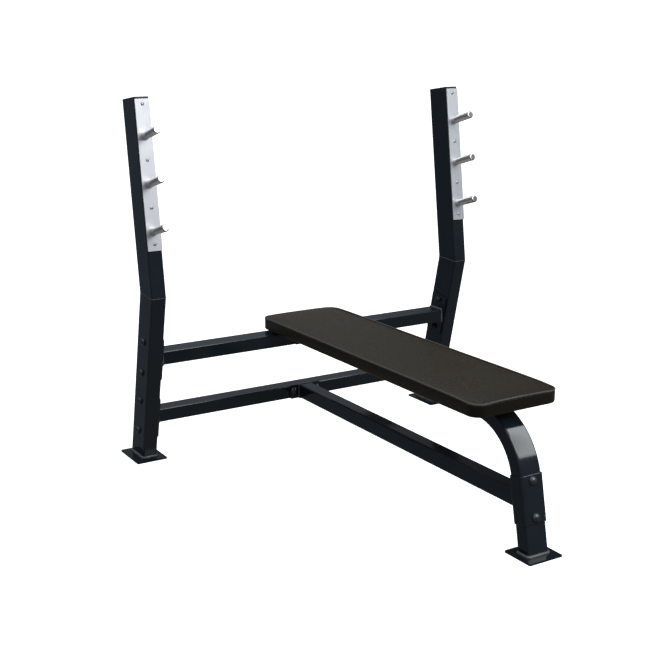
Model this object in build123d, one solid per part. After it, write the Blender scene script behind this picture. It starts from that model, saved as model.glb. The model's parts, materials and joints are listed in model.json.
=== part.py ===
from build123d import *
import os
from math import cos, radians, sin, sqrt, tan

# Flat olympic bench press. Millimetres, +Z up, +X right, +Y from the front foot towards the rack.
# The origin is on the floor, in the middle of the bounding box.

# Overall
RACK_WIDTH = 1240.0
RACK_HEIGHT = 1200.0
HALF_LENGTH = 712.0

# Uprights: two lengths of the same tube, welded at a mitred bend
UPRIGHT_W = 50.0
UPRIGHT_D = 100.0
UPRIGHT_WALL = 3.0
UPRIGHT_R = 6.0
LOWER_LEAN = 13.5
UPPER_LEAN = 7.0
UPRIGHT_FOOT_Y = 648.0
BEND_Z = 578.5
CAP_PLATE = 4.0
CAP_PLUG = 14.0
CAP_FIT = 0.2
CAP_CHAMFER = 1.2

# Steel foot plates
FOOT_T = 6.0
FOOT_CORNER_R = 2.0
UPRIGHT_FOOT = (105.0, 150.0)
UPRIGHT_FOOT_X = 600.0
FRONT_FOOT = (115.0, 105.0)

# Rack plates and their pins, measured along the upper tube from the bend
PLATE_W = 48.0
PLATE_T = 4.0
PLATE_CORNER_R = 1.5
PLATE_START = 143.0
PLATE_LENGTH = 470.0
PIN_AT = {"lower": 203.5, "middle": 351.5, "upper": 499.5}
PIN_D = 25.0
PIN_LENGTH = 100.0
PIN_RISE = 15.0
PIN_TIP_R = 4.0
PIN_ROOT_FLARE = 1.0
PIN_ROOT_LENGTH = 5.0
SCREW_AT = (164.0, 277.5, 425.5, 597.0)
SCREW_D = 6.0
SCREW_HOLE_D = 6.2
SCREW_HEAD_D = 11.0
SCREW_HEAD_H = 3.0
SCREW_RIM = 0.8
SCREW_HEX_AF = 4.0
SCREW_GRIP = 12.0

# Crossbars and the flanges at their ends
BAR_H = 46.5
BAR_WALL = 2.5
BAR_R = 5.0
UPPER_BAR_D = 70.0
LOWER_BAR_D = 60.0
UPPER_BAR_Z = 360.5
LOWER_BAR_Z = 148.0
FLANGE_T = 6.0
END_FLANGE = (80.0, 150.0)
END_FLANGE_R = 8.0
JOINT_FLANGE_R = 5.0
END_BOLT_REACH = 56.5
END_FLANGE_RISE = 4.0

# Main beam, from the lower crossbar to the sleeve on the front leg
BEAM_W = 50.0
BEAM_H = 50.0
BEAM_Z = 149.0
BEAM_FLANGE = (120.0, 50.0)
BEAM_BOLT_X = 46.0
BEAM_BOLT_Z = 154.0

# Seat rail and front leg, one bent tube
RAIL_W = 72.0
RAIL_D = 45.0
RAIL_WALL = 2.5
RAIL_R = 6.0
RAIL_TOP = 386.0
LEG_LEAN = 11.0
LEG_FOOT_Y = -659.6
LEG_BEND_R = 188.5
RAIL_FLANGE = (140.0, 48.0)
RAIL_BOLT_X = 52.0

# Sleeve around the front leg, measured along the leg from the floor
SLEEVE_WALL = 3.0
SLEEVE_FIT = 0.75
SLEEVE_START = 90.5
SLEEVE_END = 225.5
SLEEVE_BOLT_AT = (106.5, 208.5)
SLEEVE_EDGE_R = 1.2

# Frame bolts and nuts
BOLT_D = 12.0
BOLT_HOLE_D = 13.0
DOME_D = 26.0
DOME_RIM = 2.5
DOME_H = 10.0
NUT_AF = 19.0
NUT_H = 10.0
NUT_BORE_D = 12.2
NUT_FACE_D = 18.0
BOLT_TAIL = 3.0

# Pad and what holds it
PAD_W = 300.0
PAD_L = 1205.0
PAD_T = 40.0
PAD_Y = 22.5
PAD_CORNER_R = 32.0
PAD_EDGE_R = 6.0
BOARD_T = 12.0
BOARD_INSET = 6.0
BOARD_FIT = 0.3
BRACKET = (220.0, 40.0, 4.0)
BRACKET_CORNER_R = 6.0
BRACKET_AT = {"front": -380.0, "rear": 400.0}
PAD_BOLT_X = 90.0
PAD_BOLT_D = 8.0
PAD_BOLT_HOLE_D = 9.0
PAD_HEAD_AF = 13.0
PAD_HEAD_H = 5.5
PAD_BOLT_GRIP = 14.0
TEE_D = 10.0
TEE_FLANGE_D = 20.0
TEE_FLANGE_T = 1.5
TEE_BORE_D = 8.2

SIDES = {"left": -1, "right": 1}
BASE = (Align.CENTER, Align.CENTER, Align.MIN)
LOWER_AXIS = (0, -sin(radians(LOWER_LEAN)), cos(radians(LOWER_LEAN)))
UPPER_AXIS = (0, sin(radians(UPPER_LEAN)), cos(radians(UPPER_LEAN)))
LEG_AXIS = (0, sin(radians(LEG_LEAN)), cos(radians(LEG_LEAN)))
UPRIGHT_X = (RACK_WIDTH - UPRIGHT_W) / 2
BEND_Y = UPRIGHT_FOOT_Y - BEND_Z * tan(radians(LOWER_LEAN))
FRONT_RISE = UPRIGHT_D / 2 * sin(radians(UPPER_LEAN))
UPPER_REACH = (RACK_HEIGHT - BEND_Z - FRONT_RISE) / cos(radians(UPPER_LEAN))
BAR_HALF = RACK_WIDTH / 2 - UPRIGHT_W - FLANGE_T
UPPER_BAR_Y = UPRIGHT_FOOT_Y - UPPER_BAR_Z * tan(radians(LOWER_LEAN))
LOWER_BAR_Y = UPRIGHT_FOOT_Y - LOWER_BAR_Z * tan(radians(LOWER_LEAN))
PAD_BOTTOM = RAIL_TOP + BRACKET[2]


def node(name, shape):
    """Write one named node."""
    export_step(shape, f"parts/{name}.step")


def group(name, solids):
    """Write identical pieces as one node of separate solids."""
    node(name, Compound(children=list(solids)))


def rod(start, direction, diameter, length):
    """A round bar from a point along a direction."""
    return extrude(Plane(origin=start, z_dir=direction) * Circle(diameter / 2), amount=length)


def plate(width, depth, thickness, corner_r, plane):
    """A flat plate standing on a plane."""
    return extrude(plane * RectangleRounded(width, depth, corner_r), amount=thickness)


def hollow(width, depth, wall, corner_r):
    """The section of a rectangular tube."""
    inside = RectangleRounded(width - 2 * wall, depth - 2 * wall, corner_r - wall)
    return RectangleRounded(width, depth, corner_r) - inside


def lower_plane(x, along):
    """The plane across a lower upright tube, at a distance along it from the floor."""
    y = UPRIGHT_FOOT_Y + along * LOWER_AXIS[1]
    return Plane(origin=(x, y, along * LOWER_AXIS[2]), x_dir=(1, 0, 0), z_dir=LOWER_AXIS)


def upper_plane(x, along):
    """The plane across an upper upright tube, at a distance along it from the bend."""
    y = BEND_Y + along * UPPER_AXIS[1]
    z = BEND_Z + along * UPPER_AXIS[2]
    return Plane(origin=(x, y, z), x_dir=(1, 0, 0), z_dir=UPPER_AXIS)


def leg_plane(along):
    """The plane across the straight part of the front leg."""
    y = LEG_FOOT_Y + along * LEG_AXIS[1]
    return Plane(origin=(0, y, along * LEG_AXIS[2]), x_dir=(1, 0, 0), z_dir=LEG_AXIS)


def on_plane(plane, x, y, z=0):
    """A point given in a plane's own coordinates, in the bench's frame."""
    return tuple(plane.from_local_coords(Vector(x, y, z)))


def mitre_plane():
    """The plane that halves the angle between the two upright tubes."""
    tilt = radians((LOWER_LEAN - UPPER_LEAN) / 2)
    return Plane(origin=(0, BEND_Y, BEND_Z), x_dir=(1, 0, 0), z_dir=(0, -sin(tilt), cos(tilt)))


def foot_top_plane():
    """The top of the steel foot plates."""
    return Plane(origin=(0, 0, FOOT_T), z_dir=(0, 0, 1))


def crossbar_bolt_points(x):
    """Centres of the four bolts through one upright, in the upright's middle plane."""
    points = []
    for bar_z in (LOWER_BAR_Z, UPPER_BAR_Z):
        middle = bar_z / LOWER_AXIS[2] + END_FLANGE_RISE
        for along in (middle - END_BOLT_REACH, middle + END_BOLT_REACH):
            points.append(on_plane(lower_plane(x, along), 0, 0))
    return points


def lower_tube(x):
    reach = BEND_Z / LOWER_AXIS[2]
    start = lower_plane(x, -UPRIGHT_D)
    section = start * hollow(UPRIGHT_W, UPRIGHT_D, UPRIGHT_WALL, UPRIGHT_R)
    tube = extrude(section, amount=reach + 2 * UPRIGHT_D)
    tube = split(tube, bisect_by=mitre_plane(), keep=Keep.BOTTOM)
    tube = split(tube, bisect_by=foot_top_plane(), keep=Keep.TOP)
    for _, y, z in crossbar_bolt_points(x):
        tube -= rod((x - UPRIGHT_W, y, z), (1, 0, 0), BOLT_HOLE_D, 2 * UPRIGHT_W)
    return tube


def outward_normal(sign=1):
    """The direction that the front face of an upper tube faces, or its reverse."""
    lean = radians(UPPER_LEAN)
    return (0, -sign * cos(lean), sign * sin(lean))


def upper_tube(x):
    start = upper_plane(x, -UPRIGHT_D)
    section = start * hollow(UPRIGHT_W, UPRIGHT_D, UPRIGHT_WALL, UPRIGHT_R)
    tube = extrude(section, amount=UPRIGHT_D + UPPER_REACH - CAP_PLATE)
    tube = split(tube, bisect_by=mitre_plane(), keep=Keep.TOP)
    for along in SCREW_AT:
        start = on_plane(upper_plane(x, along), 0, -UPRIGHT_D / 2 - 1)
        tube -= rod(start, outward_normal(-1), SCREW_HOLE_D, UPRIGHT_WALL + 2)
    return tube


def top_cap(x):
    plane = upper_plane(x, UPPER_REACH - CAP_PLATE)
    lid = plate(UPRIGHT_W, UPRIGHT_D, CAP_PLATE, UPRIGHT_R, plane)
    lid = chamfer(lid.edges().group_by(Axis(plane.origin, plane.z_dir))[-1], CAP_CHAMFER)
    inner_w = UPRIGHT_W - 2 * (UPRIGHT_WALL + CAP_FIT)
    inner_d = UPRIGHT_D - 2 * (UPRIGHT_WALL + CAP_FIT)
    plug = plane * RectangleRounded(inner_w, inner_d, UPRIGHT_R - UPRIGHT_WALL)
    return lid + extrude(plug, amount=-CAP_PLUG)


def foot_plate(size, x, y):
    return plate(size[0], size[1], FOOT_T, FOOT_CORNER_R, Plane(origin=(x, y, 0), z_dir=(0, 0, 1)))


def rack_face(x, along, out=0.0):
    """A plane on the front face of an upper tube, facing forward, at a distance along it."""
    middle = upper_plane(x, along)
    origin = on_plane(middle, 0, -UPRIGHT_D / 2 - out)
    return Plane(origin=origin, x_dir=(1, 0, 0), z_dir=outward_normal())


def rack_plate(x):
    middle = PLATE_START + PLATE_LENGTH / 2
    body = plate(PLATE_W, PLATE_LENGTH, PLATE_T, PLATE_CORNER_R, rack_face(x, middle))
    for along in SCREW_AT:
        start = tuple(rack_face(x, along, -1).origin)
        body -= rod(start, outward_normal(), SCREW_HOLE_D, PLATE_T + 2)
    return body


def rack_pin(x, along):
    """A round pin that rises forward, its root flared by the weld and cut to the rack plate's face."""
    face = rack_face(x, along, PLATE_T)
    rise = radians(PIN_RISE)
    direction = Vector(0, -cos(rise), sin(rise))
    start = Vector(face.origin) - direction * PIN_ROOT_LENGTH
    pin = rod(start, direction, PIN_D, PIN_LENGTH + PIN_ROOT_LENGTH)
    tip = pin.edges().group_by(Axis(start, direction))[-1]
    pin = fillet(tip, PIN_TIP_R)
    wide = PIN_D / 2 + 2 * PIN_ROOT_FLARE
    pin += Plane(origin=start, z_dir=direction) * Cone(wide, PIN_D / 2, 2 * PIN_ROOT_LENGTH, align=BASE)
    return split(pin, bisect_by=face, keep=Keep.TOP)


def rack_screw(x, along):
    """A button-head screw through the rack plate into the tube's front wall."""
    face = rack_face(x, along, PLATE_T)
    head = dome(SCREW_HEAD_D, SCREW_RIM, SCREW_HEAD_H) - socket(SCREW_HEX_AF, SCREW_HEAD_H)
    screw = head + rod((0, 0, 0), (0, 0, -1), SCREW_D, SCREW_GRIP)
    return face.location * screw


def socket(across, height):
    """The hexagon hole in a button head, cut down from its top."""
    hexagon = Plane(origin=(0, 0, height)) * RegularPolygon(across / 2, 6, major_radius=False)
    return extrude(hexagon, amount=-height * 0.6)


def dome(diameter, rim, height):
    """A domed head standing on the XY plane."""
    r = diameter / 2
    rise = height - rim
    sphere_r = (r * r + rise * rise) / (2 * rise)
    mid_x = r * 0.55
    mid_z = height - sphere_r + sqrt(sphere_r * sphere_r - mid_x * mid_x)
    outline = [Line((0, 0), (r, 0)), Line((r, 0), (r, rim))]
    outline += [ThreePointArc((r, rim), (mid_x, mid_z), (0, height)), Line((0, height), (0, 0))]
    return revolve(Plane.XZ * make_face(outline), axis=Axis.Z)


def frame_bolt(seat, outward, grip):
    """A domed-head bolt, its head seated at a point and its shank running the other way."""
    bolt = dome(DOME_D, DOME_RIM, DOME_H)
    bolt += rod((0, 0, 0), (0, 0, -1), BOLT_D, grip + NUT_H + BOLT_TAIL)
    return Plane(origin=seat, z_dir=outward).location * bolt


def frame_nut(seat, outward):
    """A hexagon nut standing off a face, its outer corners turned off at 45 degrees."""
    profile = RegularPolygon(NUT_AF / 2, 6, major_radius=False) - Circle(NUT_BORE_D / 2)
    turned = Cone(NUT_FACE_D / 2 + NUT_H, NUT_FACE_D / 2, NUT_H, align=BASE)
    nut = extrude(profile, amount=NUT_H) & turned
    return Plane(origin=seat, z_dir=outward).location * nut


def crossbar_bolts(side):
    x = side * UPRIGHT_X
    outer = side * RACK_WIDTH / 2
    grip = UPRIGHT_W + FLANGE_T
    return [frame_bolt((outer, y, z), (side, 0, 0), grip) for _, y, z in crossbar_bolt_points(x)]


def crossbar_nuts(side):
    x = side * UPRIGHT_X
    inner = side * BAR_HALF
    return [frame_nut((inner, y, z), (-side, 0, 0)) for _, y, z in crossbar_bolt_points(x)]


def end_flange(side, bar_z):
    """The plate welded to a crossbar's end, lined up with the leaning upright."""
    x = side * UPRIGHT_X
    middle = lower_plane(x, bar_z / LOWER_AXIS[2] + END_FLANGE_RISE)
    origin = (side * BAR_HALF, middle.origin.Y, middle.origin.Z)
    plane = Plane(origin=origin, x_dir=middle.y_dir, z_dir=(side, 0, 0))
    body = plate(END_FLANGE[0], END_FLANGE[1], FLANGE_T, END_FLANGE_R, plane)
    for _, y, z in crossbar_bolt_points(x):
        body -= rod((side * (BAR_HALF - 1), y, z), (side, 0, 0), BOLT_HOLE_D, FLANGE_T + 2)
    return body


def crossbar(depth, y, z, bolt_x, bolt_z):
    """A crossbar tube, with two bolt holes through it from front to back."""
    start = Plane(origin=(-BAR_HALF, y, z), x_dir=(0, 1, 0), z_dir=(1, 0, 0))
    tube = extrude(start * hollow(depth, BAR_H, BAR_WALL, BAR_R), amount=2 * BAR_HALF)
    for x in (-bolt_x, bolt_x):
        tube -= rod((x, y - depth, bolt_z), (0, 1, 0), BOLT_HOLE_D, 2 * depth)
    return tube


def joint_flange(size, y_face, z_middle, bolt_x, bolt_z):
    """A plate against the front of a crossbar, drilled for its two bolts."""
    plane = Plane(origin=(0, y_face, z_middle), x_dir=(1, 0, 0), z_dir=(0, -1, 0))
    body = plate(size[0], size[1], FLANGE_T, JOINT_FLANGE_R, plane)
    for x in (-bolt_x, bolt_x):
        body -= rod((x, y_face + 1, bolt_z), (0, -1, 0), BOLT_HOLE_D, FLANGE_T + 2)
    return body


def joint_bolts(y_bar, depth, bolt_x, z):
    """The two bolts of a crossbar joint, their heads in front."""
    seat = y_bar - depth / 2 - FLANGE_T
    return [frame_bolt((x, seat, z), (0, -1, 0), depth + FLANGE_T) for x in (-bolt_x, bolt_x)]


def joint_nuts(y_bar, depth, bolt_x, z):
    """The nuts of a crossbar joint, behind the bar."""
    return [frame_nut((x, y_bar + depth / 2, z), (0, 1, 0)) for x in (-bolt_x, bolt_x)]


def sleeve_rear_plane():
    """The rear face of the sleeve on the front leg."""
    middle = leg_plane(0)
    back = RAIL_D / 2 + SLEEVE_FIT + SLEEVE_WALL
    return Plane(origin=on_plane(middle, 0, back), x_dir=(1, 0, 0), z_dir=middle.y_dir)


def main_beam():
    """The spine, square to the lower crossbar's flange and cut to the leaning sleeve."""
    y_end = LOWER_BAR_Y - LOWER_BAR_D / 2 - FLANGE_T
    start = Plane(origin=(0, y_end, BEAM_Z), x_dir=(1, 0, 0), z_dir=(0, -1, 0))
    tube = extrude(start * hollow(BEAM_W, BEAM_H, BAR_WALL, BAR_R), amount=2 * HALF_LENGTH)
    return split(tube, bisect_by=sleeve_rear_plane(), keep=Keep.TOP)


def drill_leg(body):
    """Cut the two sleeve bolt holes, which run square to the leg."""
    for along in SLEEVE_BOLT_AT:
        plane = leg_plane(along)
        start = on_plane(plane, 0, -2 * RAIL_D)
        body -= rod(start, plane.y_dir, BOLT_HOLE_D, 4 * RAIL_D)
    return body


def leg_sleeve():
    """The socket round the front leg, its end edges eased."""
    width = RAIL_W + 2 * (SLEEVE_FIT + SLEEVE_WALL)
    depth = RAIL_D + 2 * (SLEEVE_FIT + SLEEVE_WALL)
    start = leg_plane(SLEEVE_START)
    length = SLEEVE_END - SLEEVE_START
    bore_r = RAIL_R + SLEEVE_FIT
    block = extrude(start * RectangleRounded(width, depth, bore_r + SLEEVE_WALL), amount=length)
    ends = block.edges().group_by(Axis(start.origin, start.z_dir))
    block = fillet(ends[0] + ends[-1], SLEEVE_EDGE_R)
    bore = RectangleRounded(width - 2 * SLEEVE_WALL, depth - 2 * SLEEVE_WALL, bore_r)
    return drill_leg(block - extrude(start * bore, amount=length))


def leg_bolts():
    bolts = []
    out = RAIL_D / 2 + SLEEVE_FIT + SLEEVE_WALL
    for along in SLEEVE_BOLT_AT:
        plane = leg_plane(along)
        bolts.append(frame_bolt(on_plane(plane, 0, -out), plane.y_dir * -1, 2 * out))
    return bolts


def leg_nuts():
    nuts = []
    out = RAIL_D / 2 + SLEEVE_FIT + SLEEVE_WALL
    for along in SLEEVE_BOLT_AT:
        plane = leg_plane(along)
        nuts.append(frame_nut(on_plane(plane, 0, out), plane.y_dir))
    return nuts


def rail_and_leg():
    """The bent tube: a level rail under the pad, a wide bend, and a leg that leans forward."""
    rail_z = RAIL_TOP - RAIL_D / 2
    bend_z = rail_z - LEG_BEND_R
    lean = radians(LEG_LEAN)
    to_bend = (bend_z + LEG_BEND_R * sin(lean)) / cos(lean)
    foot = leg_plane(-RAIL_D).origin
    low = leg_plane(to_bend).origin
    bend_y = low.Y + LEG_BEND_R * cos(lean)
    half = radians((90 - LEG_LEAN) / 2 + LEG_LEAN)
    mid = (0, bend_y - LEG_BEND_R * cos(half), bend_z + LEG_BEND_R * sin(half))
    high = (0, bend_y, rail_z)
    y_end = UPPER_BAR_Y - UPPER_BAR_D / 2 - FLANGE_T
    path = Line(foot, low)
    path += ThreePointArc(low, mid, high)
    path += Line(high, (0, y_end, rail_z))
    start = leg_plane(-RAIL_D)
    outer = sweep(start * RectangleRounded(RAIL_W, RAIL_D, RAIL_R), path=path)
    inside = RectangleRounded(RAIL_W - 2 * RAIL_WALL, RAIL_D - 2 * RAIL_WALL, RAIL_R - RAIL_WALL)
    tube = outer - sweep(start * inside, path=path)
    tube = split(tube, bisect_by=foot_top_plane(), keep=Keep.TOP)
    return drill_leg(tube)


def pad_bolt_points():
    return [(x, y) for y in BRACKET_AT.values() for x in (-PAD_BOLT_X, PAD_BOLT_X)]


def pad_bracket(y):
    """A flat bar welded across the top of the seat rail."""
    body = plate(BRACKET[0], BRACKET[1], BRACKET[2], BRACKET_CORNER_R, Plane(origin=(0, y, RAIL_TOP)))
    for x in (-PAD_BOLT_X, PAD_BOLT_X):
        body -= rod((x, y, RAIL_TOP - 1), (0, 0, 1), PAD_BOLT_HOLE_D, BRACKET[2] + 2)
    return body


def pad_board():
    """The plywood board, counterbored on top for the tee nuts."""
    inset = 2 * BOARD_INSET
    plane = Plane(origin=(0, PAD_Y, PAD_BOTTOM))
    board = plate(PAD_W - inset, PAD_L - inset, BOARD_T, PAD_CORNER_R - BOARD_INSET, plane)
    for x, y in pad_bolt_points():
        top = PAD_BOTTOM + BOARD_T
        board -= rod((x, y, PAD_BOTTOM - 1), (0, 0, 1), TEE_D, BOARD_T + 2)
        board -= rod((x, y, top), (0, 0, -1), TEE_FLANGE_D, TEE_FLANGE_T)
    return board


def pad_cushion():
    """The upholstered foam, which also wraps the board's edges."""
    plane = Plane(origin=(0, PAD_Y, PAD_BOTTOM))
    body = plate(PAD_W, PAD_L, PAD_T, PAD_CORNER_R, plane)
    body = fillet(body.edges().group_by(Axis.Z)[-1], PAD_EDGE_R)
    gap = 2 * (BOARD_INSET - BOARD_FIT)
    pocket_r = PAD_CORNER_R - BOARD_INSET + BOARD_FIT
    pocket = plate(PAD_W - gap, PAD_L - gap, BOARD_T + BOARD_FIT, pocket_r, plane)
    return body - pocket


def tee_nut(x, y):
    """A tee nut pressed into the board from above."""
    top = PAD_BOTTOM + BOARD_T
    barrel = rod((x, y, top), (0, 0, -1), TEE_D, BOARD_T - 2)
    flange = rod((x, y, top), (0, 0, -1), TEE_FLANGE_D, TEE_FLANGE_T)
    return barrel + flange - rod((x, y, top + 1), (0, 0, -1), TEE_BORE_D, BOARD_T + 2)


def pad_bolt(x, y):
    """A hexagon-head bolt up through a bracket into a tee nut."""
    seat = (x, y, RAIL_TOP)
    hexagon = Plane(origin=seat) * RegularPolygon(PAD_HEAD_AF / 2, 6, major_radius=False)
    return extrude(hexagon, amount=-PAD_HEAD_H) + rod(seat, (0, 0, 1), PAD_BOLT_D, PAD_BOLT_GRIP)


os.makedirs("parts", exist_ok=True)

for name, side in SIDES.items():
    x = side * UPRIGHT_X
    foot_y = HALF_LENGTH - UPRIGHT_FOOT[1] / 2
    node(f"{name}_upright_lower_tube", lower_tube(x))
    node(f"{name}_upright_upper_tube", upper_tube(x))
    node(f"{name}_upright_top_cap", top_cap(x))
    node(f"{name}_upright_foot_plate", foot_plate(UPRIGHT_FOOT, side * UPRIGHT_FOOT_X, foot_y))
    node(f"{name}_rack_plate", rack_plate(x))
    for height, along in PIN_AT.items():
        node(f"{name}_rack_pin_{height}", rack_pin(x, along))
    group(f"{name}_rack_plate_screws", [rack_screw(x, along) for along in SCREW_AT])
    group(f"{name}_crossbar_bolts", crossbar_bolts(side))
    group(f"{name}_crossbar_nuts", crossbar_nuts(side))
    node(f"upper_crossbar_{name}_flange", end_flange(side, UPPER_BAR_Z))
    node(f"lower_crossbar_{name}_flange", end_flange(side, LOWER_BAR_Z))

node("upper_crossbar_tube", crossbar(UPPER_BAR_D, UPPER_BAR_Y, UPPER_BAR_Z, RAIL_BOLT_X, UPPER_BAR_Z))
node("lower_crossbar_tube", crossbar(LOWER_BAR_D, LOWER_BAR_Y, LOWER_BAR_Z, BEAM_BOLT_X, BEAM_BOLT_Z))

beam_face = LOWER_BAR_Y - LOWER_BAR_D / 2
node("main_beam_tube", main_beam())
node("main_beam_flange", joint_flange(BEAM_FLANGE, beam_face, BEAM_Z, BEAM_BOLT_X, BEAM_BOLT_Z))
group("main_beam_bolts", joint_bolts(LOWER_BAR_Y, LOWER_BAR_D, BEAM_BOLT_X, BEAM_BOLT_Z))
group("main_beam_nuts", joint_nuts(LOWER_BAR_Y, LOWER_BAR_D, BEAM_BOLT_X, BEAM_BOLT_Z))

rail_face = UPPER_BAR_Y - UPPER_BAR_D / 2
rail_flange_z = RAIL_TOP - RAIL_FLANGE[1] / 2
node("seat_rail_and_leg_tube", rail_and_leg())
node("seat_rail_flange", joint_flange(RAIL_FLANGE, rail_face, rail_flange_z, RAIL_BOLT_X, UPPER_BAR_Z))
group("seat_rail_bolts", joint_bolts(UPPER_BAR_Y, UPPER_BAR_D, RAIL_BOLT_X, UPPER_BAR_Z))
group("seat_rail_nuts", joint_nuts(UPPER_BAR_Y, UPPER_BAR_D, RAIL_BOLT_X, UPPER_BAR_Z))

front_foot_y = FRONT_FOOT[1] / 2 - HALF_LENGTH
node("front_leg_foot_plate", foot_plate(FRONT_FOOT, 0, front_foot_y))
node("front_leg_sleeve", leg_sleeve())
group("front_leg_sleeve_bolts", leg_bolts())
group("front_leg_sleeve_nuts", leg_nuts())

for name, y in BRACKET_AT.items():
    node(f"pad_bracket_{name}", pad_bracket(y))
node("pad_board", pad_board())
node("pad_cushion", pad_cushion())
group("pad_tee_nuts", [tee_nut(x, y) for x, y in pad_bolt_points()])
group("pad_bolts", [pad_bolt(x, y) for x, y in pad_bolt_points()])
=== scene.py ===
import json
from math import copysign, cos, exp, hypot, pi, radians, sin, sqrt, tanh

import bmesh
import bpy
from mathutils import Matrix, Vector, noise
from mathutils.geometry import convex_hull_2d


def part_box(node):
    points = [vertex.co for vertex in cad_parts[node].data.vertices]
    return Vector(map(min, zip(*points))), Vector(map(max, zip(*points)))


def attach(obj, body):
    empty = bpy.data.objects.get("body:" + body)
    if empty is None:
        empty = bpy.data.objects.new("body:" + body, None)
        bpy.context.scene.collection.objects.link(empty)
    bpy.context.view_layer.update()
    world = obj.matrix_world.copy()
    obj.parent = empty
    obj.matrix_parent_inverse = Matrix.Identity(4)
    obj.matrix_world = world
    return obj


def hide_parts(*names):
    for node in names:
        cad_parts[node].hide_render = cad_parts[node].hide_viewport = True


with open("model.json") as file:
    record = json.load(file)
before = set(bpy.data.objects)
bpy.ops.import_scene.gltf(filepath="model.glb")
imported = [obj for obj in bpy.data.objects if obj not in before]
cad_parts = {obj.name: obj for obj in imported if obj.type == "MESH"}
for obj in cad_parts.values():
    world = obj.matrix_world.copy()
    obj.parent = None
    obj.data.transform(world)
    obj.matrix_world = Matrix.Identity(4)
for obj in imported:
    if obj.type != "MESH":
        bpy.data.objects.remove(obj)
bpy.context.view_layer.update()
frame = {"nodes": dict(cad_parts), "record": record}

NODES = frame["nodes"]
scene = bpy.context.scene

# Camera, in the CAD frame; its lens and sensor in millimetres
CAMERA_AT = Vector((-1.98595, -2.86812, 1.36796))
CAMERA_YAW = radians(31.135)
CAMERA_PITCH = radians(13.98)
CAMERA_ROLL = radians(0.33)
CAMERA_LENS = 63.69
CAMERA_SENSOR = 36.0

# Welds: the bead's radius, how far it lies back from the tube's end, and how far outside the tube
FOOT_WELD = (0.0052, 0.0005, 0.0005)
BAR_WELD = (0.0040, 0.0004, 0.0004)
FLANGE_WELD = (0.0030, 0.0004, 0.0004)
MITRE_WELD = (0.0008, 0.0, -0.0001)

# Weld ripples: length, depth and bend of each, and how much a bead's radius wanders along it
RIPPLE_LENGTH = 0.0042
RIPPLE_DEPTH = 0.13
RIPPLE_BEND = 0.35
WELD_WANDER = 0.12

# Spacing of the rings along a weld and along the piping, and the points in a ring
WELD_STEP = 0.0009
PIPING_STEP = 0.004
AROUND = 12

# How far from the plane of a tube's end a point still counts as on it
END_SLACK = 0.0003

# Leans of the tubes and rise of the pins, from the CAD
LOWER_LEAN = radians(13.5)
UPPER_LEAN = radians(7.0)
LEG_LEAN = radians(11.0)
PIN_RISE = radians(15.0)

# Pad: corners of its plan, and how far the top dips at them, fading over that reach
FRONT_CORNER = 0.038
REAR_CORNER = 0.041
BOARD_CORNER = 0.032
LEAST_CORNER = 0.004
FRONT_DIP = 0.0036
REAR_DIP = 0.0016
DIP_REACH = 0.065

# Pad: rise of the top beside its seam and towards the middle, and how far in each is spread
SEAM_RISE, SEAM_REACH = 0.0033, 0.007
CROWN_RISE, CROWN_REACH = 0.0012, 0.06

# Pad: the cover lines the board's pocket farther in than this, from that much under the pad up
POCKET_INSET = 0.0055
POCKET_DROP = 0.0002

# Pad: faces across and along its top, and the most that the cloth moves its top and its sides
FACES_ACROSS = 36
FACES_ALONG = 140
PAD_CROWN = 0.0022
PAD_BULGE = 0.0016
SIM_FRAMES = 20

# Pad: where the gathers beside the seam lie and their rise, and the foam's unevenness, full that far in
GATHER_DEPTH, GATHER_WIDTH, GATHER_RISE = 0.013, 0.009, 0.0006
UNEVEN_RISE, UNEVEN_DEPTH = 0.0007, 0.04

# Piping: its radius, its middle's drop below the top of the pad's box, and its unevenness
PIPING_R = 0.0029
PIPING_DROP = 0.0018
PIPING_DRIFT = 0.00025
PIPING_WANDER = 0.05

# Vinyl: cells of its grain per metre, and where their pattern starts
VINYL_GRAIN = 620.0
GRAIN_START = (0.0006, 0.0006, 0.0006)

# Numbers of a Mix node's colour inputs and of its colour output
MIX_A, MIX_B, MIX_RESULT = 6, 7, 2

FLOOR_HALF = 60.0
WHITE = (1.0, 1.0, 1.0, 1.0)


# ---------------------------------------------------------------- node trees

class Nodes:
    """A node tree of a material or the world, written a node at a time."""

    def __init__(self, tree):
        self.tree = tree

    def node(self, kind, inputs=None, **settings):
        """A new node with those settings, each input linked to a socket or given a value."""
        made = self.tree.nodes.new("ShaderNode" + kind)
        for key, value in settings.items():
            setattr(made, key, value)
        for key, value in (inputs or {}).items():
            self.put(made.inputs[key], value)
        return made

    def put(self, socket, value):
        if isinstance(value, bpy.types.NodeSocket):
            self.tree.links.new(value, socket)
        else:
            socket.default_value = value

    def spread(self, value, low, high, start=0.3, end=0.7):
        """A value that goes from start to end, spread from low to high."""
        limits = {"From Min": start, "From Max": end, "To Min": low, "To Max": high}
        return self.node("MapRange", {"Value": value, **limits}).outputs["Result"]

    def maths(self, operation, a, b):
        return self.node("Math", {0: a, 1: b}, operation=operation).outputs[0]

    def blend(self, share, a, b, blend_type="MIX"):
        """Colour a going over to colour b, each of them a socket or three numbers."""
        a, b = (c if isinstance(c, bpy.types.NodeSocket) else (*c, 1.0) for c in (a, b))
        inputs = {0: share, MIX_A: a, MIX_B: b}
        return self.node("Mix", inputs, data_type="RGBA", blend_type=blend_type).outputs[MIX_RESULT]


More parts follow.
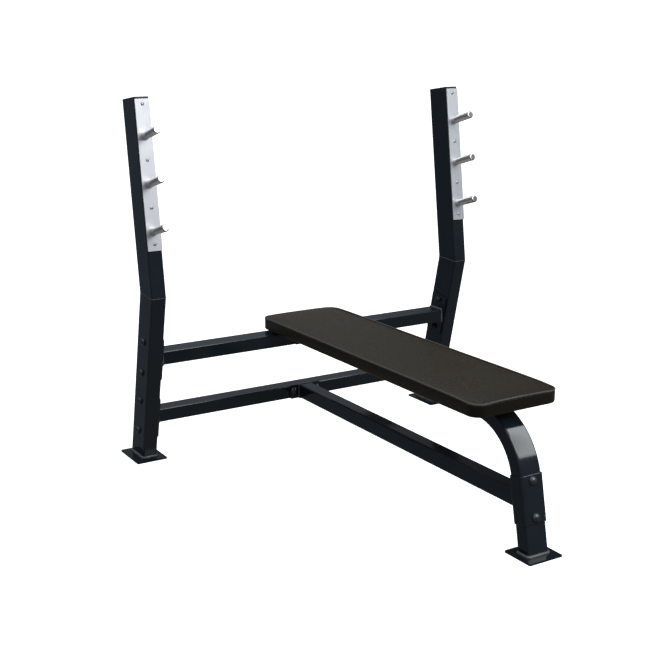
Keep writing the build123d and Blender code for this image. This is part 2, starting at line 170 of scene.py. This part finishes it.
class Shader(Nodes):
    """A material: its texture coordinates, its patterns, and what its Principled BSDF is given."""

    def __init__(self, name):
        self.material = bpy.data.materials.new(name)
        self.material.use_nodes = True
        super().__init__(self.material.node_tree)
        self.bsdf = self.tree.nodes["Principled BSDF"]
        self.coords = self.node("TexCoord").outputs["Object"]

    def stretched(self, scale, turn=(0.0, 0.0, 0.0)):
        """The coordinates turned, then scaled along each axis."""
        turned = self.node("Mapping", {"Vector": self.coords, "Rotation": turn})
        return self.node("Mapping", {"Vector": turned.outputs[0], "Scale": scale}).outputs[0]

    def noise(self, scale, detail=2.0, rough=0.5, at=None):
        made = self.node("TexNoise", {"Scale": scale, "Detail": detail, "Roughness": rough})
        self.put(made.inputs["Vector"], at or self.coords)
        return made.outputs["Fac"]

    def cells(self, scale, feature="F1", at=None):
        made = self.node("TexVoronoi", {"Scale": scale}, feature=feature)
        self.put(made.inputs["Vector"], at or self.coords)
        return made.outputs["Distance"]

    def bump(self, height, strength, distance, after=None):
        made = self.node("Bump", {"Height": height, "Strength": strength, "Distance": distance})
        if after:
            self.put(made.inputs["Normal"], after)
        return made.outputs["Normal"]

    def finish(self, **sockets):
        """The material, with those inputs of its BSDF linked or given values."""
        for key, value in sockets.items():
            self.put(self.bsdf.inputs[key.replace("_", " ")], value)
        return self.material


# ---------------------------------------------------------------- materials

def frame_paint():
    """Semi-gloss near-black powder coat: orange peel, faint dust and rubbed patches."""
    s = Shader("frame_paint")
    patches = s.noise(6.0, 4.0, 0.6)
    specks = s.noise(420.0, 3.0, 0.7)
    colour = s.blend(s.spread(patches, 0.0, 1.0), (0.0046, 0.0080, 0.0118), (0.0070, 0.0114, 0.0164))
    colour = s.blend(s.spread(specks, 0.0, 0.25, 0.68, 0.80), colour, (0.040, 0.044, 0.050))
    gloss = s.maths("ADD", s.spread(patches, 0.07, 0.12), s.spread(specks, -0.01, 0.05))
    peel = s.bump(s.noise(520.0, 1.5, 0.4), 0.05, 0.0004)
    fine = s.bump(s.noise(2400.0, 2.0, 0.5), 0.06, 0.0001, peel)
    return s.finish(Base_Color=colour, Roughness=gloss, Normal=fine)


def weld_paint_painted_highlight():
    """The same coat where it lies thick over a weld, coloured far lighter than the frame's coat as a
    painted highlight.
    """
    s = Shader("weld_paint_painted_highlight")
    patches = s.noise(60.0, 3.0, 0.6)
    # Painted highlight: the bead's colour is much lighter than the frame coat, standing in for the light
    # the glossy beads catch
    colour = s.blend(s.spread(patches, 0.0, 1.0), (0.050, 0.055, 0.062), (0.092, 0.097, 0.106))
    rough = s.spread(patches, 0.14, 0.28)
    grain = s.bump(s.noise(900.0, 3.0, 0.6), 0.15, 0.0003)
    return s.finish(Base_Color=colour, Roughness=rough, Normal=grain)


def cap_plastic():
    """Matt moulded plastic with a fine spark texture."""
    s = Shader("cap_plastic")
    spark = s.noise(1500.0, 3.0, 0.6)
    colour = s.blend(s.spread(s.noise(30.0), 0.0, 1.0), (0.006, 0.006, 0.007), (0.012, 0.012, 0.013))
    rough = s.spread(spark, 0.42, 0.62)
    return s.finish(Base_Color=colour, Roughness=rough, Normal=s.bump(spark, 0.30, 0.0003))


def satin_plate():
    """Satin bare steel, brushed along the plate, with faint handling marks."""
    s = Shader("satin_plate")
    lengthwise = s.stretched((900.0, 900.0, 9.0), (UPPER_LEAN, 0.0, 0.0))
    brush = s.noise(1.0, 4.0, 0.6, lengthwise)
    cloud = s.noise(14.0, 4.0, 0.6)
    smudge = s.noise(55.0, 5.0, 0.7)
    colour = s.blend(s.spread(brush, 0.0, 1.0), (0.53, 0.54, 0.57), (0.63, 0.64, 0.67))
    colour = s.blend(s.spread(smudge, 0.0, 0.4, 0.60, 0.80), colour, (0.56, 0.55, 0.54))
    rough = s.maths("ADD", s.spread(cloud, 0.44, 0.54), s.spread(brush, -0.05, 0.05))
    grain = s.bump(brush, 0.12, 0.0002)
    return s.finish(Base_Color=colour, Metallic=0.85, Roughness=rough, Normal=grain)


def chrome_pin():
    """Polished chrome with hairline rub marks round it from bar knurling."""
    s = Shader("chrome_pin")
    around = s.stretched((14.0, 900.0, 900.0), (-PIN_RISE, 0.0, 0.0))
    hairs = s.noise(1.0, 3.0, 0.7, around)
    haze = s.noise(45.0, 4.0, 0.6)
    colour = s.blend(s.spread(haze, 0.0, 1.0), (0.62, 0.60, 0.58), (0.78, 0.77, 0.76))
    rough = s.maths("ADD", s.spread(haze, 0.09, 0.17), s.spread(hairs, 0.0, 0.08, 0.55, 0.75))
    return s.finish(Base_Color=colour, Metallic=1.0, Roughness=rough, Normal=s.bump(hairs, 0.05, 0.0001))


def bare_steel(name, low, high, rough_low, rough_high):
    """Plated fastener steel, slightly blotched."""
    s = Shader(name)
    blotch = s.noise(180.0, 4.0, 0.6)
    colour = s.blend(s.spread(blotch, 0.0, 1.0), low, high)
    grain = s.noise(2600.0, 2.0, 0.5)
    rough = s.spread(blotch, rough_low, rough_high)
    return s.finish(Base_Color=colour, Metallic=1.0, Roughness=rough, Normal=s.bump(grain, 0.15, 0.0001))


def black_hardware():
    """Satin black oxide, worn a little lighter in patches."""
    s = Shader("black_hardware")
    wear = s.noise(160.0, 4.0, 0.65)
    colour = s.blend(s.spread(wear, 0.0, 1.0, 0.35, 0.75), (0.040, 0.046, 0.054), (0.085, 0.093, 0.105))
    rough = s.spread(wear, 0.20, 0.34)
    grain = s.noise(2200.0, 2.0, 0.5)
    return s.finish(Base_Color=colour, Metallic=0.7, Roughness=rough, Normal=s.bump(grain, 0.12, 0.0001))


def vinyl(name, low, high, rough_low, rough_high):
    """Upholstery vinyl: pebbled grain of cells and valleys, the valleys darkened as painted shade, with
    faint creases.
    """
    s = Shader(name)
    start = s.node("VectorMath", {0: s.coords, 1: GRAIN_START}, operation="ADD").outputs[0]
    pebble = s.cells(VINYL_GRAIN, "SMOOTH_F1", start)
    valley = s.cells(VINYL_GRAIN, "DISTANCE_TO_EDGE", start)
    shine = s.noise(260.0, 2.0, 0.5)
    crease = s.noise(38.0, 5.0, 0.7)
    patch = s.noise(7.0, 3.0, 0.5)
    # Painted shade: the grain's valleys are darkened to less than half the vinyl's colour
    valley_painted_shade = tuple(0.45 * c for c in low)
    colour = s.blend(s.spread(patch, 0.0, 1.0), low, high)
    colour = s.blend(s.spread(valley, 0.45, 0.0, 0.0, 0.18), colour, valley_painted_shade)
    rough = s.maths("ADD", s.spread(patch, rough_low, rough_high), s.spread(shine, -0.04, 0.04))
    deep = s.bump(crease, 0.12, 0.0020)
    relief = s.maths("SUBTRACT", s.spread(valley, 0.0, 1.0, 0.0, 0.22), pebble)
    grain = s.bump(relief, 0.35, 0.0003, deep)
    s.finish(Sheen_Weight=0.06, Sheen_Roughness=0.5, Sheen_Tint=(1.0, 0.76, 0.38, 1.0))
    s.finish(Specular_IOR_Level=0.25, Specular_Tint=(1.0, 0.96, 0.80, 1.0))
    return s.finish(Base_Color=colour, Roughness=rough, Normal=grain)


def plywood():
    """Bare plywood: long grain, growth bands and pores."""
    s = Shader("board_wood")
    along = s.stretched((34.0, 3.0, 34.0))
    bands = s.noise(1.6, 5.0, 0.65, along)
    pores = s.noise(1.0, 3.0, 0.6, s.stretched((900.0, 40.0, 900.0)))
    colour = s.blend(s.spread(bands, 0.0, 1.0), (0.33, 0.21, 0.11), (0.55, 0.40, 0.24))
    colour = s.blend(s.spread(pores, 0.0, 0.6, 0.60, 0.75), colour, (0.18, 0.11, 0.06))
    rough = s.spread(bands, 0.55, 0.75)
    return s.finish(Base_Color=colour, Roughness=rough, Normal=s.bump(pores, 0.3, 0.0003))


MATERIALS = {
    "frame_paint": frame_paint(),
    "cap_plastic": cap_plastic(),
    "satin_plate": satin_plate(),
    "chrome_pin": chrome_pin(),
    "steel_screw": bare_steel("steel_screw", (0.44, 0.44, 0.45), (0.58, 0.58, 0.59), 0.30, 0.45),
    "zinc_hardware": bare_steel("zinc_hardware", (0.50, 0.50, 0.50), (0.62, 0.62, 0.60), 0.26, 0.42),
    "black_hardware": black_hardware(),
    "pad_vinyl": vinyl("pad_vinyl", (0.0034, 0.0031, 0.0025), (0.0046, 0.0042, 0.0034), 0.27, 0.35),
    "board_wood": plywood(),
}
# Painted highlight: the piping's vinyl is coloured far lighter than the pad's, standing in for the light
# along the cord's round top
PIPING_PAINTED_HIGHLIGHT = vinyl("piping_vinyl_painted_highlight", (0.046, 0.048, 0.050), (0.060, 0.062, 0.065), 0.15, 0.22)
# The welds' coat, with its colour lightened as a painted highlight
WELD_PAINTED_HIGHLIGHT = weld_paint_painted_highlight()


# ---------------------------------------------------------------- building pieces

def mesh_of(name, bm):
    """What was built, as a mesh."""
    mesh = bpy.data.meshes.new(name)
    bm.to_mesh(mesh)
    bm.free()
    return mesh


def bridge(bm, a, b):
    """A band of faces between two rings of points."""
    for j in range(len(a)):
        k = (j + 1) % len(a)
        bm.faces.new((a[j], a[k], b[k], b[j]))


def closed_tube(name, bm, rings):
    """The mesh of a tube that runs through those rings and back to the first."""
    for ring, following in zip(rings, rings[1:] + rings[:1]):
        bridge(bm, ring, following)
    bmesh.ops.recalc_face_normals(bm, faces=bm.faces[:])
    return mesh_of(name, bm)


def new_piece(name, mesh, material):
    """A smooth object of that mesh, riding on the one body and finished."""
    mesh.name = name
    piece = bpy.data.objects.new(name, mesh)
    scene.collection.objects.link(piece)
    mesh.materials.clear()
    mesh.materials.append(material)
    mesh.polygons.foreach_set("use_smooth", [True] * len(mesh.polygons))
    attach(piece, "root")
    return piece


def resample(points, step):
    """Points evenly spaced along a closed line, and the line's length."""
    closed = points + points[:1]
    lengths = [(b - a).length for a, b in zip(closed, closed[1:])]
    total = sum(lengths)
    count = round(total / step)
    made = []
    index, passed = 0, 0.0
    for i in range(count):
        goal = total * i / count
        while passed + lengths[index] < goal:
            passed += lengths[index]
            index += 1
        share = (goal - passed) / lengths[index]
        made.append(closed[index].lerp(closed[index + 1], share))
    return made, total


def end_outline(node, direction):
    """The outer outline of a CAD node's flat end that faces that direction."""
    verts = [v.co for v in NODES[node].data.vertices]
    far = max(v.dot(direction) for v in verts)
    face = [v for v in verts if v.dot(direction) > far - END_SLACK]
    side = direction.orthogonal().normalized()
    up = direction.cross(side)
    flat = [(v.dot(side), v.dot(up)) for v in face]
    hull = convex_hull_2d(flat)
    return [side * flat[i][0] + up * flat[i][1] + direction * far for i in hull]


def bead(name, node, direction, radius, lift, out):
    """A rippled weld bead round the end of a tube."""
    direction = Vector(direction).normalized()
    path, total = resample(end_outline(node, direction), WELD_STEP)
    centre = sum(path, Vector()) / len(path)
    ripples = round(total / RIPPLE_LENGTH)
    bm = bmesh.new()
    rings = []
    count = len(path)
    for i, point in enumerate(path):
        ahead = (path[(i + 1) % count] - path[i - 1]).normalized()
        outward = ahead.cross(direction).normalized()
        if outward.dot(point - centre) < 0:
            outward = -outward
        wander = noise.noise(point * 90.0) * WELD_WANDER
        ring = []
        for j in range(AROUND):
            angle = 2 * pi * j / AROUND
            phase = i / count * ripples - RIPPLE_BEND * abs(cos(angle))
            wave = 0.5 + 0.5 * cos(2 * pi * phase)
            r = radius * (1.0 + wander - RIPPLE_DEPTH * wave ** 3)
            spot = point + outward * (out + r * cos(angle)) - direction * (lift + r * sin(angle))
            ring.append(bm.verts.new(spot))
        rings.append(ring)
    new_piece(name, closed_tube(name, bm, rings), WELD_PAINTED_HIGHLIGHT)


# ---------------------------------------------------------------- CAD nodes

# Each node shows in the material of its slot
for part in frame["record"]["subparts"]:
    mesh = NODES[part["node"]].data
    mesh.materials.clear()
    mesh.materials.append(MATERIALS[part["material_slot"]])


# ---------------------------------------------------------------- welds

UP, DOWN, BACK = (0, 0, 1), (0, 0, -1), (0, 1, 0)
MITRE = (0, -sin((LOWER_LEAN - UPPER_LEAN) / 2), cos((LOWER_LEAN - UPPER_LEAN) / 2))
TO_SLEEVE = (0, -cos(LEG_LEAN), sin(LEG_LEAN))
for side in ("left", "right"):
    bead(f"{side}_foot_weld", f"{side}_upright_lower_tube", DOWN, *FOOT_WELD)
    bead(f"{side}_mitre_weld", f"{side}_upright_lower_tube", MITRE, *MITRE_WELD)
for level in ("upper", "lower"):
    for side, way in (("left", -1), ("right", 1)):
        bead(f"{level}_crossbar_{side}_weld", f"{level}_crossbar_tube", (way, 0, 0), *BAR_WELD)
bead("front_foot_weld", "seat_rail_and_leg_tube", DOWN, *FOOT_WELD)
bead("rail_flange_weld", "seat_rail_and_leg_tube", BACK, *FLANGE_WELD)
bead("beam_flange_weld", "main_beam_tube", BACK, *FLANGE_WELD)
bead("beam_sleeve_weld", "main_beam_tube", TO_SLEEVE, *FLANGE_WELD)


# ---------------------------------------------------------------- pad

pad_lo, pad_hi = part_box("pad_cushion")
board_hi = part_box("pad_board")[1]
pad_mid = (pad_lo + pad_hi) / 2
half_w = (pad_hi.x - pad_lo.x) / 2
half_l = (pad_hi.y - pad_lo.y) / 2

# The cover's section, as inset and height, from its seam down the side, in under the board's edge,
# out to the edge and up it, to the foam above the board
SEAM = (0.0043, pad_hi.z - 0.0030)
SHOULDER = (0.0022, pad_hi.z - 0.0038)
SIDE = [(0.0012, pad_hi.z - 0.0062 - 0.0040 * k) for k in range(8)]
LIP = [(0.0016, pad_lo.z + 0.0008), (0.0036, pad_lo.z - 0.0006), (0.0070, pad_lo.z - 0.0011)]
LIP += [(0.0150, pad_lo.z - 0.0012), (0.0240, pad_lo.z - 0.0011), (0.0310, pad_lo.z - 0.0012)]
LIP += [(0.0320, pad_lo.z - 0.0010), (0.0322, pad_lo.z - 0.0004), (0.0316, pad_lo.z - 0.0001)]
POCKET = [(0.0180, pad_lo.z - 0.0001), (0.0062, pad_lo.z), (0.0058, pad_lo.z + 0.0008)]
POCKET += [(0.0058, board_hi.z - 0.001)]
CEILING = (0.0060, board_hi.z + 0.0003)


def stations(count):
    """Places from -1 to 1 along a side, closer together at its ends."""
    even = [2 * k / count - 1 for k in range(count + 1)]
    return [0.4 * t + 0.6 * sin(pi / 2 * t) for t in even]


def placed(s, t, inset, z):
    """The cover's point at a place of its plan, an inset and a height, with round corners that dip."""
    pocket = inset > POCKET_INSET and z > pad_lo.z - POCKET_DROP
    corner = BOARD_CORNER if pocket else REAR_CORNER if t > 0 else FRONT_CORNER
    wide, long, r = half_w - inset, half_l - inset, max(corner - inset, LEAST_CORNER)
    x, y = s * wide, t * long
    u, v = 1 - (wide - abs(x)) / r, 1 - (long - abs(y)) / r
    if u > 0 and v > 0:
        x = copysign(wide - r + r * u * sqrt(1 - v * v / 2), s)
        y = copysign(long - r + r * v * sqrt(1 - u * u / 2), t)
    off = hypot(half_w - abs(x), half_l - abs(y))
    share = 0.0 if pocket else max((z - pad_lo.z) / (pad_hi.z - pad_lo.z), 0.0)
    dip = (REAR_DIP if t > 0 else FRONT_DIP) * share * exp(-(off / DIP_REACH) ** 2)
    return Vector((pad_mid.x + x, pad_mid.y + y, z - dip))


def pad_depth(p):
    """How far a point is inside the pad's outline in plan."""
    dx = half_w - abs(p.x - pad_mid.x)
    dy = half_l - abs(p.y - pad_mid.y)
    r = REAR_CORNER if p.y > pad_mid.y else FRONT_CORNER
    if dx < r and dy < r:
        return r - hypot(r - dx, r - dy)
    return min(dx, dy)


def cover_form():
    """The cover before it is filled, as one closed mesh, and the free points of its top and its sides."""
    s_at, t_at = stations(FACES_ACROSS), stations(FACES_ALONG)
    last_i, last_j = len(s_at) - 1, len(t_at) - 1
    rim = [(i, 0) for i in range(last_i)] + [(last_i, j) for j in range(last_j)]
    rim += [(i, last_j) for i in range(last_i, 0, -1)] + [(0, j) for j in range(last_j, 0, -1)]
    bm = bmesh.new()

    def sheet(level, edge, upward):
        """Points and faces over the whole plan at one level, with those of its edge given or new."""
        points = {}
        for i, s in enumerate(s_at):
            for j, t in enumerate(t_at):
                points[i, j] = edge.get((i, j)) or bm.verts.new(placed(s, t, *level))
        for i in range(last_i):
            for j in range(last_j):
                loop = [points[i, j], points[i + 1, j], points[i + 1, j + 1], points[i, j + 1]]
                bm.faces.new(loop if upward else loop[::-1])
        return points

    top = sheet(SEAM, {}, True)
    upper = [top[at] for at in rim]
    panel = [top[i, j] for i in range(1, last_i) for j in range(1, last_j)]
    for v in panel:
        depth = pad_depth(v.co)
        rise = SEAM_RISE * (1.0 - exp(-(depth - SEAM[0]) / SEAM_REACH))
        v.co.z += rise + CROWN_RISE * (1.0 - exp(-depth / CROWN_REACH))
    band = []
    for level in [SHOULDER] + SIDE + LIP + POCKET + [CEILING]:
        lower = [bm.verts.new(placed(s_at[i], t_at[j], *level)) for i, j in rim]
        bridge(bm, lower, upper)
        if level in SIDE[1:-1]:
            band += lower
        upper = lower
    sheet(CEILING, dict(zip(rim, upper)), False)
    bm.verts.index_update()
    panel = {v.index for v in panel}
    band = {v.index for v in band}
    return mesh_of("pad_cover", bm), panel, band


def inflate(mesh, panel, band):
    """The cover swelling over the foam: a short cloth simulation, its movement capped."""
    work = bpy.data.objects.new("pad_cloth", mesh)
    scene.collection.objects.link(work)
    held = work.vertex_groups.new(name="held")
    held.add([v.index for v in mesh.vertices if v.index not in panel | band], 1.0, "REPLACE")
    rest = [v.co.copy() for v in mesh.vertices]
    cloth = work.modifiers.new("cloth", "CLOTH")
    settings = cloth.settings
    settings.quality = 4
    settings.mass = 0.3
    settings.tension_stiffness = 12.0
    settings.compression_stiffness = 12.0
    settings.shear_stiffness = 6.0
    settings.bending_stiffness = 0.6
    settings.use_pressure = True
    settings.uniform_pressure_force = 4.0
    settings.effector_weights.gravity = 0.0
    settings.vertex_group_mass = "held"
    cloth.point_cache.frame_start = 1
    cloth.point_cache.frame_end = SIM_FRAMES
    for f in range(1, SIM_FRAMES + 1):
        scene.frame_set(f)
    graph = bpy.context.evaluated_depsgraph_get()
    swollen = bpy.data.meshes.new_from_object(work.evaluated_get(graph))
    bpy.data.objects.remove(work)
    for v, start in zip(swollen.vertices, rest):
        move = v.co - start
        cap = PAD_CROWN if v.index in panel else PAD_BULGE
        if move.length > 0:
            move *= cap * tanh(move.length / cap) / move.length
        v.co = start + move
    scene.frame_set(1)
    return swollen


def pucker(mesh, panel, band):
    """Gathers beside the seam, and the slight unevenness of foam under the cover."""
    for v in mesh.vertices:
        depth = pad_depth(v.co)
        if v.index in panel:
            near = exp(-((depth - GATHER_DEPTH) / GATHER_WIDTH) ** 2)
            gather = noise.noise(Vector((v.co.x * 42.0, v.co.y * 42.0, 1.7)))
            broad = noise.noise(Vector((v.co.x * 7.0, v.co.y * 5.0, 4.1)))
            uneven = UNEVEN_RISE * broad * min(depth / UNEVEN_DEPTH, 1.0)
            v.co.z += GATHER_RISE * gather * near + uneven
        elif v.index in band:
            tall = (v.co.z - pad_lo.z) / (pad_hi.z - pad_lo.z)
            outward = Vector((v.co.x - pad_mid.x, 0.0, 0.0))
            if half_l - abs(v.co.y - pad_mid.y) < half_w - abs(v.co.x - pad_mid.x):
                outward = Vector((0.0, v.co.y - pad_mid.y, 0.0))
            wave = noise.noise(Vector((v.co.x * 16.0, v.co.y * 16.0, v.co.z * 7.0)))
            v.co += outward.normalized() * UNEVEN_RISE * wave * sin(pi * tall)


def piping(name):
    """The covered cord along the top seam."""
    s_at, t_at = stations(2 * FACES_ACROSS), stations(2 * FACES_ALONG)
    loop = [(s, -1) for s in s_at[:-1]] + [(1, t) for t in t_at[:-1]]
    loop += [(s, 1) for s in s_at[:0:-1]] + [(-1, t) for t in t_at[:0:-1]]
    middle = [placed(s, t, PIPING_R, pad_hi.z - PIPING_DROP) for s, t in loop]
    path, _ = resample(middle, PIPING_STEP)
    count = len(path)
    bm = bmesh.new()
    rings = []
    for i, p in enumerate(path):
        ahead = (path[(i + 1) % count] - path[i - 1]).normalized()
        outward = ahead.cross(Vector(UP)).normalized()
        drift = PIPING_DRIFT * noise.noise(p * 45.0)
        r = PIPING_R * (1.0 + PIPING_WANDER * noise.noise(p * 160.0))
        ring = []
        for j in range(AROUND):
            angle = 2 * pi * j / AROUND
            spot = p + outward * (r * cos(angle) + drift) + Vector((0, 0, r * sin(angle)))
            ring.append(bm.verts.new(spot))
        rings.append(ring)
    new_piece(name, closed_tube(name, bm, rings), PIPING_PAINTED_HIGHLIGHT)


cover, panel, band = cover_form()
cover = inflate(cover, panel, band)
pucker(cover, panel, band)
pad = new_piece("pad_cover", cover, MATERIALS["pad_vinyl"])
finer = pad.modifiers.new("finer", "SUBSURF")
finer.levels = 1
finer.render_levels = 1
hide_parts("pad_cushion")
piping("pad_piping")


# ---------------------------------------------------------------- stage

ground = bmesh.new()
corners = [(-1, -1), (1, -1), (1, 1), (-1, 1)]
ground.faces.new([ground.verts.new((x * FLOOR_HALF, y * FLOOR_HALF, 0.0)) for x, y in corners])
floor = bpy.data.objects.new("studio_floor", mesh_of("studio_floor", ground))
scene.collection.objects.link(floor)
pale = Shader("studio_floor")
tone = pale.blend(pale.spread(pale.noise(0.8, 2.0), 0.0, 1.0), (0.86, 0.86, 0.86), (0.88, 0.88, 0.88))
pale.finish(Emission_Color=WHITE, Emission_Strength=0.75)
floor.data.materials.append(pale.finish(Base_Color=tone, Roughness=0.9))
floor.visible_glossy = False
floor.visible_diffuse = False


def softbox(name, at, towards, long_axis, width, length, radiance, colour=(1.0, 1.0, 1.0)):
    """A soft rectangular light of that brightness, in watts per square metre and steradian."""
    data = bpy.data.lights.new(name, "AREA")
    data.shape = "RECTANGLE"
    data.size, data.size_y = width, length
    data.energy = radiance * pi * width * length
    data.color = colour
    made = bpy.data.objects.new(name, data)
    back = (Vector(at) - Vector(towards)).normalized()
    across = Vector(long_axis).cross(back).normalized()
    turn = Matrix((across, back.cross(across), back)).transposed()
    made.matrix_world = Matrix.Translation(at) @ turn.to_4x4()
    scene.collection.objects.link(made)


# A strip that shines in the bend of the front leg, and a square that lights the front
leg_bend = Vector((0.0, -0.59, 0.34))
strip_at = leg_bend + 2.6 * Vector((0.662, -0.453, 0.597))
strip = {"long_axis": (0, 0.795, 0.607), "width": 0.34, "length": 1.93}
softbox("leg_strip_light", strip_at, leg_bend, radiance=6.2, colour=(0.92, 0.97, 1.0), **strip)
square = {"long_axis": (0, 0, 1), "width": 1.5, "length": 1.5}
softbox("front_softbox", (0.62, -2.60, 2.60), (-0.3, 0.40, 0.90), radiance=7.5, **square)

world = bpy.data.worlds.new("studio")
scene.world = world
world.use_nodes = True
world.node_tree.nodes.clear()
sky = Nodes(world.node_tree)
direction = sky.node("SeparateXYZ", {0: sky.node("TexCoord").outputs["Generated"]}).outputs


def heights(stops):
    """A colour by how high a direction points, from -1 straight down to 1 straight up."""
    made = sky.node("ValToRGB", {0: sky.spread(direction["Z"], 0.0, 1.0, -1.0, 1.0)})
    ends = made.color_ramp.elements
    for stop, (height, colour) in zip((ends[0], ends[1]), (stops[0], stops[-1])):
        stop.position, stop.color = (height + 1) / 2, (*colour, 1)
    for height, colour in stops[1:-1]:
        ends.new((height + 1) / 2).color = (*colour, 1)
    return made.outputs[0]


# What the bench mirrors: the sides behind it, at +Y, and ahead of it, at -Y, and one ceiling
CEILING_LIGHT = [(0.60, (0.95, 0.95, 0.95)), (0.68, (1.1, 1.1, 1.1)), (1.0, (1.2, 1.2, 1.2))]
behind = heights([
    (-1.0, (0.120, 0.100, 0.080)),
    (-0.72, (0.320, 0.258, 0.212)),
    (-0.50, (0.270, 0.218, 0.180)),
    (-0.42, (0.100, 0.115, 0.135)),
    (-0.06, (0.100, 0.125, 0.160)),
    (0.06, (0.165, 0.190, 0.214)),
    (0.25, (0.165, 0.190, 0.214)),
    (0.328, (0.215, 0.235, 0.268)),
    (0.345, (0.060, 0.063, 0.070)),
    (0.53, (0.070, 0.072, 0.078)),
] + CEILING_LIGHT)
ahead = heights([
    (-1.0, (0.160, 0.140, 0.120)),
    (-0.50, (0.150, 0.165, 0.178)),
    (-0.25, (0.125, 0.138, 0.152)),
    (-0.09, (0.165, 0.185, 0.200)),
    (0.10, (0.185, 0.215, 0.240)),
    (0.30, (0.210, 0.225, 0.240)),
] + CEILING_LIGHT)

# Behind it, the light weakens towards +X and comes back at the far end
fading = sky.spread(direction["X"], 1.0, 0.36, 0.50, 0.64)
rising = sky.spread(direction["X"], 0.0, 1.0, 0.72, 0.92)
back = sky.blend(1.0, behind, sky.maths("MAXIMUM", fading, rising), "MULTIPLY")
round_about = sky.blend(sky.spread(direction["Y"], 0.0, 1.0, 0.25, -0.35), back, ahead)

# The camera sees plain white instead
room = sky.node("Background", {"Color": round_about, "Strength": 1.0})
backdrop = sky.node("Background", {"Color": WHITE, "Strength": 1.05})
seen = sky.node("LightPath").outputs["Is Camera Ray"]
either = sky.node("MixShader", {0: seen, 1: room.outputs[0], 2: backdrop.outputs[0]})
sky.node("OutputWorld", {"Surface": either.outputs[0]})


# ---------------------------------------------------------------- camera

data = bpy.data.cameras.new("camera")
data.lens = CAMERA_LENS
data.sensor_width = CAMERA_SENSOR
camera = bpy.data.objects.new("camera", data)
level = cos(CAMERA_PITCH)
forward = Vector((sin(CAMERA_YAW) * level, cos(CAMERA_YAW) * level, -sin(CAMERA_PITCH)))
right = Vector((cos(CAMERA_YAW), -sin(CAMERA_YAW), 0.0))
down = forward.cross(right)
across = right * cos(CAMERA_ROLL) + down * sin(CAMERA_ROLL)
below = down * cos(CAMERA_ROLL) - right * sin(CAMERA_ROLL)
turn = Matrix((across, -below, -forward)).transposed()
camera.matrix_world = Matrix.Translation(CAMERA_AT) @ turn.to_4x4()
scene.collection.objects.link(camera)
scene.camera = camera
scene.view_settings.view_transform = "Standard"
